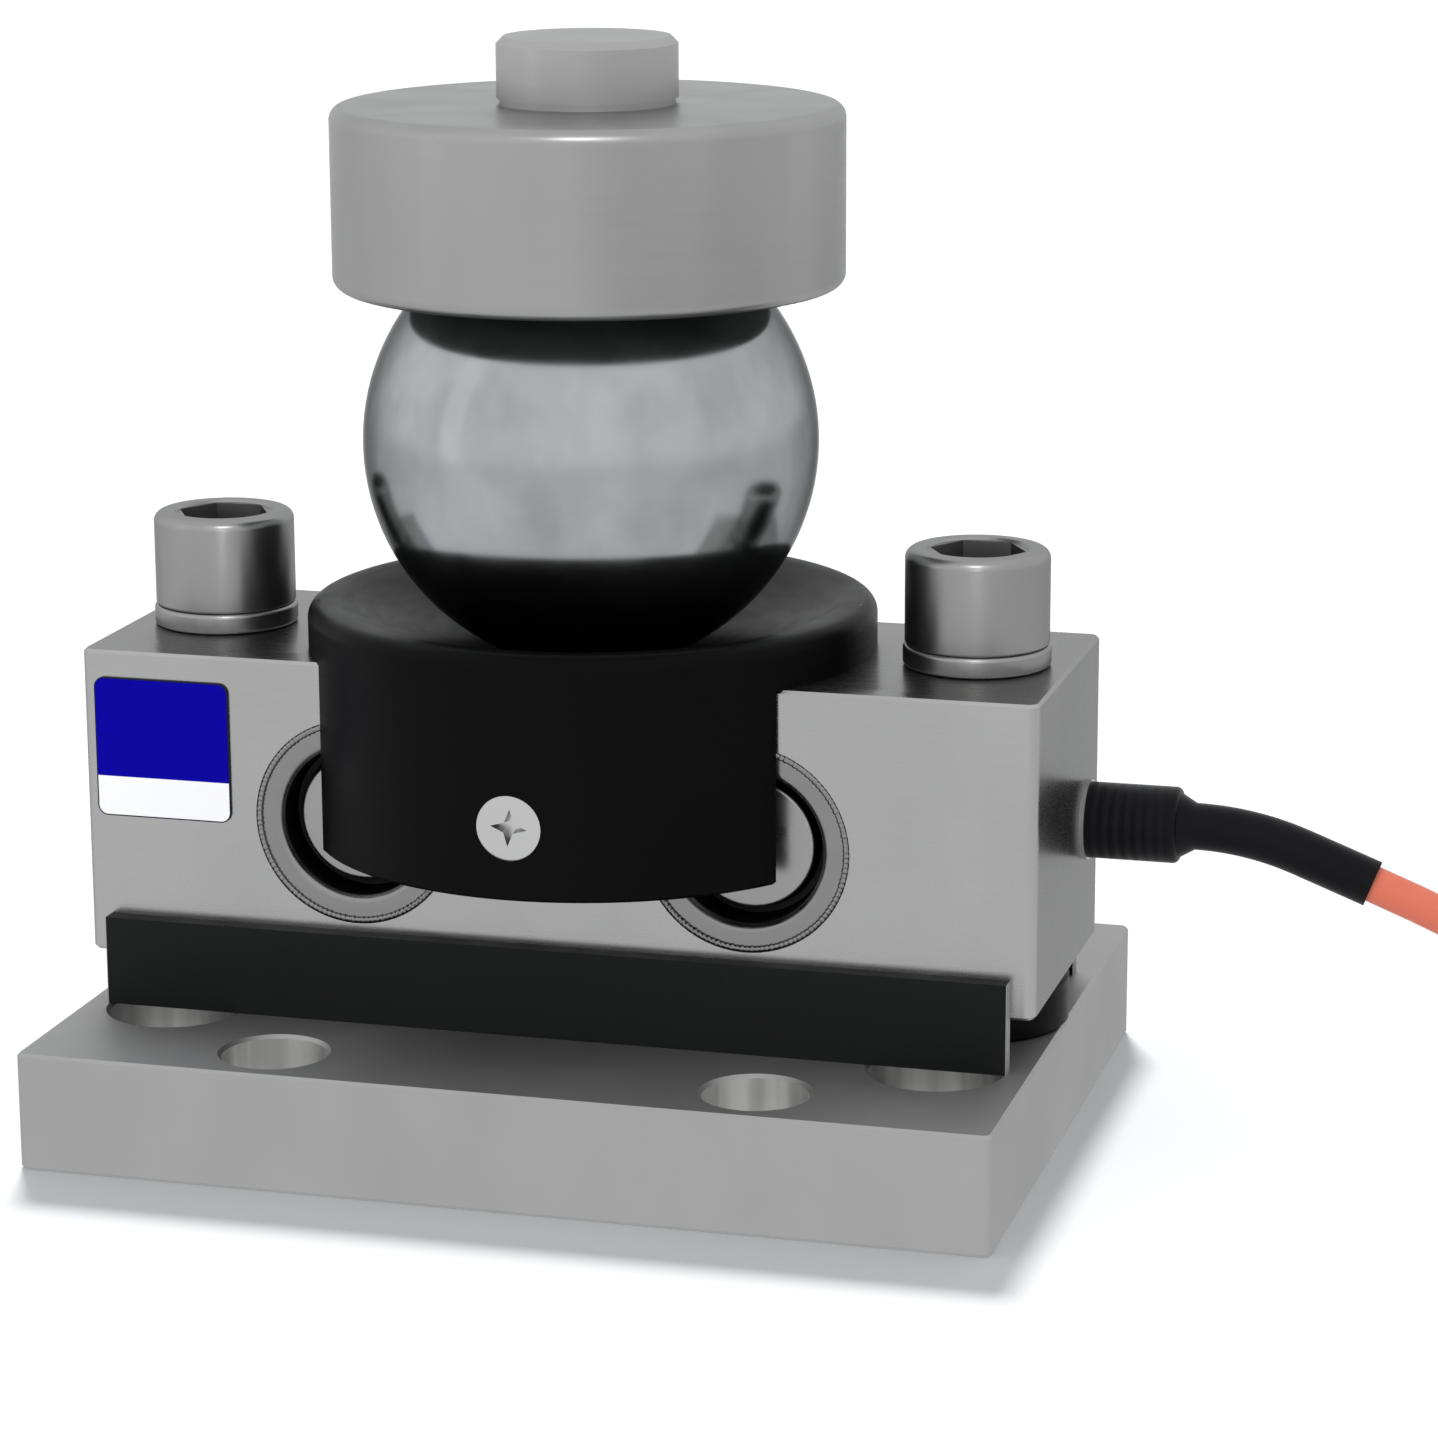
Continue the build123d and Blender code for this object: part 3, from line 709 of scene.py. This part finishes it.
def make_strap(number, material):
    """A woven strap drawn round the turns, with its free end lapped over its outer side."""
    low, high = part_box(f"coil_tie_{number}")
    centre_x, centre_y = coil_centre()
    angle = math.atan2((low[1] + high[1]) / 2 - centre_y, (low[0] + high[0]) / 2 - centre_x)
    half = COIL_LAYERS / 2 * TURN_SPACING
    inner = ((COIL_MIDDLE_RADIUS - half, low[2] + STRAP_THICKNESS),
             (COIL_MIDDLE_RADIUS + half, high[2] - STRAP_THICKNESS))
    outer = ((inner[0][0] - STRAP_THICKNESS, low[2]), (inner[1][0] + STRAP_THICKNESS, high[2]))
    corner = CABLE_DIAMETER / 2
    lap = ((outer[1][0], STRAP_OVERLAP[0]), (outer[1][0] + STRAP_THICKNESS, STRAP_OVERLAP[1]))
    shell = bmesh.new()
    centre = Vector((centre_x, centre_y, 0.0))
    band = [rounded_loop(*inner, corner), rounded_loop(*outer, corner + STRAP_THICKNESS)]
    sweep_strap(shell, band, centre, angle)
    sweep_strap(shell, [rounded_loop(*lap, STRAP_THICKNESS * STRAP_END_CORNER, 3)], centre, angle)
    bmesh.ops.recalc_face_normals(shell, faces=shell.faces)
    smooth(shell)
    mesh = bpy.data.meshes.new(f"coil_strap_{number}")
    shell.to_mesh(mesh)
    shell.free()
    strap = add_object(f"coil_strap_{number}", mesh, material)
    strap.visible_glossy = False
    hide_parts(f"coil_tie_{number}")
    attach(strap, "root")


# Stage and light

ROOM_TINT = (0.98, 0.99, 1.0, 1.0)
FLOOR_HALF = 3.0
FLOOR_SEEN = (0.78, 0.79, 0.80)
FLOOR_UNSEEN = (0.66, 0.66, 0.68)
FLOOR_IN_METAL = (0.86, 0.68)
FLOOR_IN_METAL_SIDE = (0.0, 0.7)
FLOOR_IN_METAL_FAR = (0.7, 2.8)
FLOOR_IN_METAL_RISE = 0.15
WORLD_LIGHT = 0.70
METAL_SIDE = (0.1, 0.95)
METAL_LEFT = 1.0
METAL_RIGHT = 0.88
METAL_TOP = (0.55, 0.95)
METAL_ABOVE = 0.95
LAMP_TARGET = (0.0, 0.0, 0.12)


def make_floor(material):
    mesh = bpy.data.meshes.new("floor")
    corners = [(x * FLOOR_HALF, y * FLOOR_HALF, 0) for x, y in ((-1, -1), (1, -1), (1, 1), (-1, 1))]
    mesh.from_pydata(corners, [], [(0, 1, 2, 3)])
    add_object("floor", mesh, material)


def floor_white():
    """A pale floor that its own lamp turns white to the camera. Metal sees it glow instead, dimmer to the
    right and brighter far off, as stand-in studio light.
    """
    shader = Shader("floor_white", Roughness=0.9, Specular_IOR_Level=0.0)
    path = shader.node("ShaderNodeLightPath")
    rays = path.socket.node.outputs
    seen = shader.node("ShaderNodeMath", {"operation": "MAXIMUM"}, Field(shader, rays["Is Camera Ray"]),
                       Field(shader, rays["Is Transmission Ray"]))
    shader.drive("Base Color", shader.blend(seen, FLOOR_UNSEEN, FLOOR_SEEN))
    across, along, _ = shader.part(shader.place())
    away = (across * across + along * along).power(0.5)
    level = across.between(*FLOOR_IN_METAL_SIDE, *FLOOR_IN_METAL)
    level = level + away.between(*FLOOR_IN_METAL_FAR, 0.0, FLOOR_IN_METAL_RISE)
    # The floor glows only in reflections, standing in for the studio's light there.
    floor_glow_in_metal = shader.node("ShaderNodeEmission", None, ROOM_TINT, level)
    final = shader.node("ShaderNodeMixShader", None, Field(shader, rays["Is Glossy Ray"]),
                        Field(shader, shader.surface.outputs[0]), floor_glow_in_metal)
    shader.tree.links.new(final.socket, shader.tree.nodes["Material Output"].inputs["Surface"])
    shader.material.cycles.emission_sampling = "NONE"
    return shader.material


def make_world():
    """A white room: plain soft light, white to the camera, and dimmer to the right in metal."""
    world = bpy.data.worlds.new("studio")
    bpy.context.scene.world = world
    world.use_nodes = True
    nodes, links = world.node_tree.nodes, world.node_tree.links

    def background(strength, tint=ROOM_TINT):
        made = nodes.new("ShaderNodeBackground")
        made.inputs["Color"].default_value = tint
        made.inputs["Strength"].default_value = strength
        return made

    def mixed(factor, first, second):
        made = nodes.new("ShaderNodeMixShader")
        links.new(factor, made.inputs[0])
        links.new(first.outputs[0], made.inputs[1])
        links.new(second.outputs[0], made.inputs[2])
        return made

    def ramp(source, low, high):
        made = nodes.new("ShaderNodeMapRange")
        made.interpolation_type = "SMOOTHSTEP"
        made.inputs["From Min"].default_value = low
        made.inputs["From Max"].default_value = high
        links.new(source, made.inputs["Value"])
        return made.outputs[0]

    path = nodes.new("ShaderNodeLightPath")
    where = nodes.new("ShaderNodeTexCoord")
    parts = nodes.new("ShaderNodeSeparateXYZ")
    links.new(where.outputs["Generated"], parts.inputs[0])
    sideways = mixed(ramp(parts.outputs["X"], *METAL_SIDE), background(METAL_LEFT),
                     background(METAL_RIGHT))
    overhead = mixed(ramp(parts.outputs["Z"], *METAL_TOP), sideways, background(METAL_ABOVE))
    soft = mixed(path.outputs["Is Glossy Ray"], background(WORLD_LIGHT), overhead)
    seen = nodes.new("ShaderNodeMath")
    seen.operation = "MAXIMUM"
    links.new(path.outputs["Is Camera Ray"], seen.inputs[0])
    links.new(path.outputs["Is Transmission Ray"], seen.inputs[1])
    final = mixed(seen.outputs[0], soft, background(1.0, (1.0, 1.0, 1.0, 1.0)))
    links.new(final.outputs[0], nodes["World Output"].inputs["Surface"])


def aim(lamp, place, target):
    lamp.location = place
    lamp.rotation_mode = "QUATERNION"
    lamp.rotation_quaternion = (Vector(target) - Vector(place)).to_track_quat("-Z", "Y")
    bpy.context.collection.objects.link(lamp)


def link_lamp(lamp, role, pieces, state="INCLUDE"):
    """Names the only pieces that a lamp lights, as its receivers, or that block it, as its blockers."""
    group = bpy.data.collections.new(f"{lamp.name}_{role}")
    for piece in pieces:
        group.objects.link(bpy.data.objects[piece])
    for item in group.collection_objects:
        item.light_linking.link_state = state
    setattr(lamp.light_linking, role + "_collection", group)


def make_sun(name, place, strength, spread):
    """An even lamp, as soft as its spread in degrees, which metal doesn't show."""
    data = bpy.data.lights.new(name, "SUN")
    data.energy = strength
    data.angle = math.radians(spread)
    lamp = bpy.data.objects.new(name, data)
    lamp.visible_glossy = False
    aim(lamp, place, (0.0, 0.0, 0.0))
    return lamp


def make_softbox(name, place, size, power, pieces=()):
    """A flat lamp, as wide and high as its size. With pieces named, it lights those and nothing else."""
    data = bpy.data.lights.new(name, "AREA")
    data.shape = "RECTANGLE"
    data.size, data.size_y = size
    data.energy = power
    lamp = bpy.data.objects.new(name, data)
    aim(lamp, place, LAMP_TARGET)
    if pieces:
        link_lamp(lamp, "receiver", pieces)


bpy.context.scene.view_settings.view_transform = "Standard"
make_camera()
make_world()
make_floor(floor_white())
key = make_sun("key", place=(-0.20, 0.22, 1.0), strength=0.85, spread=18.0)
fill = make_sun("fill", place=(-0.15, -0.9, 0.5), strength=0.9, spread=60.0)
for lamp in (key, fill):
    link_lamp(lamp, "receiver", ["floor"], "EXCLUDE")
make_softbox("side_box", place=(-0.83, -0.54, 0.42), size=(0.22, 0.9), power=0.13)

beam_steel = plated_steel("beam_steel", tone=0.46, roughness=0.27, edge=0.48)
plate_steel = plated_steel("plate_steel", tone=0.45, roughness=0.54, edge=0.70, bores="base_plate")
cup_steel = turned_steel("cup_steel", tone=0.38, roughness=0.34, underside=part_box("upper_cup")[0][2])
pin_steel = turned_steel("pin_steel", tone=0.43, roughness=0.34)
screw_steel = plated_steel("screw_steel", tone=0.34, roughness=0.34, grain=EVEN_GRAIN)
bright_screw = plated_steel("bright_screw", tone=0.60, roughness=0.30, grain=FINE_GRAIN)
ball_steel = polished_steel("ball_steel", tone=0.44)
saddle_black = black_oxide("saddle_black")
strip_black = painted_strip("strip_black")
seal_steel = drawn_seal("seal_steel", tone=0.37)
weld_steel = plated_steel("weld_steel", tone=0.28, roughness=0.38, grain=WELD_GRAIN)
ferrule_metal = plain("ferrule_metal", (0.42, 0.42, 0.41), roughness=0.3, metallic=1.0)
boot_black = moulded_rubber("boot_black")
jacket_orange = cable_jacket("jacket_orange")
lead_coat = lead_colours("lead_coat")
strap_black = woven_strap("strap_black")
gauge_amber = plain("gauge_amber", (0.50, 0.30, 0.08), roughness=0.35)
board_green = plain("board_green", (0.03, 0.16, 0.07), roughness=0.40)
plate_print = printed_plate("plate_print")

smooth_copy("base_plate", plate_steel)
smooth_copy("shear_beam", beam_steel)
smooth_copy("steel_ball", ball_steel)
smooth_copy("upper_cup", cup_steel)
smooth_copy("locating_pin", pin_steel)
smooth_copy("loading_saddle", saddle_black)
for end in ("left", "right"):
    smooth_copy(f"spacer_collar_{end}", saddle_black)
    smooth_copy(f"mounting_screw_{end}", screw_steel)
    smooth_copy(f"spring_washer_{end}", screw_steel)
for side in ("front", "back"):
    smooth_copy(f"saddle_screw_{side}", bright_screw)
    dress(f"guard_strip_{side}", strip_black)
    for end in ("left", "right"):
        smooth_copy(f"seal_cup_{side}_{end}", seal_steel)
        dress(f"strain_gauge_{side}_{end}", gauge_amber)
make_seams(weld_steel)
dress("terminal_board", board_green)
dress("nameplate", plate_print)
smooth_copy("gland_ferrule", ferrule_metal)
smooth_copy("cable_boot", boot_black)
for number in (1, 2, 3):
    make_strap(number, strap_black)
dress("cable_leads", lead_coat)

floor_sun = make_sun("floor_sun", place=(-0.34, 0.86, 1.0), strength=3.1, spread=14.0)
link_lamp(floor_sun, "receiver", ["floor"])
link_lamp(floor_sun, "blocker", ["base_plate_surface"])
fasteners = [f"{piece}_{end}_surface" for piece in ("mounting_screw", "spring_washer")
             for end in ("left", "right")]
make_softbox("front_box", place=(0.25, -0.96, 0.18), size=(0.08, 0.90), power=0.75, pieces=fasteners)
make_softbox("front_flash", place=(0.15, -0.61, 0.75), size=(0.12, 0.12), power=1.1,
             pieces=["locating_pin_surface", "upper_cup_surface", *fasteners])

cable = make_cable(jacket_orange)
